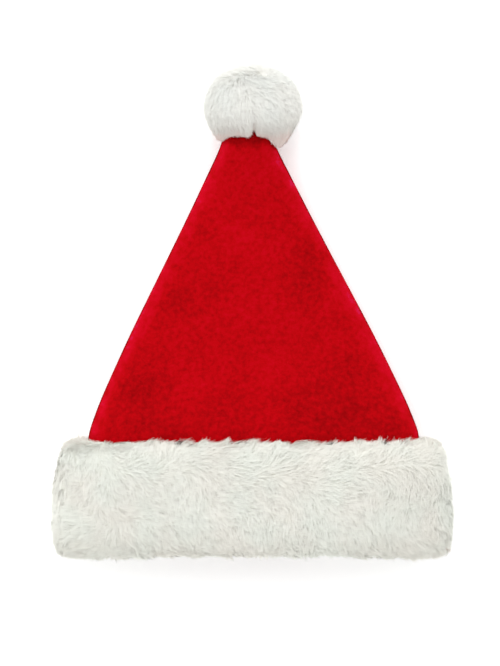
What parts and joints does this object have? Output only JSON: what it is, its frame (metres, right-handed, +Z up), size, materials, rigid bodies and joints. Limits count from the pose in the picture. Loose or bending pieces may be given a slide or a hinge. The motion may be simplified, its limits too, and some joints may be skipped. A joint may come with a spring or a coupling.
{
  "type": "santa hat",
  "caption": "Plush santa hat lying flat on its back: hollow red cloth cone of two panels, deep white fur brim round an open mouth, white fur pompom at the tip",
  "frame": {"origin": "on the surface that the hat lies on, under the middle of its outline", "axes": "+X across the hat to the right of the picture, +Y from the mouth to the pompom, +Z up from the surface, towards the camera"},
  "size_m": [0.3418, 0.4163, 0.0862],
  "materials": {
    "red_plush": "short red velour pile on a knitted back, soft and matt",
    "brim_fur": "long off-white faux fur, swept to one side in soft locks",
    "pompom_fur": "long white faux fur, combed from the top towards the hat"
  },
  "bodies": {
    "root": {"crown_front": "red_plush", "crown_back": "red_plush", "fur_brim": "brim_fur", "pompom": "pompom_fur"}
  },
  "joints": []
}
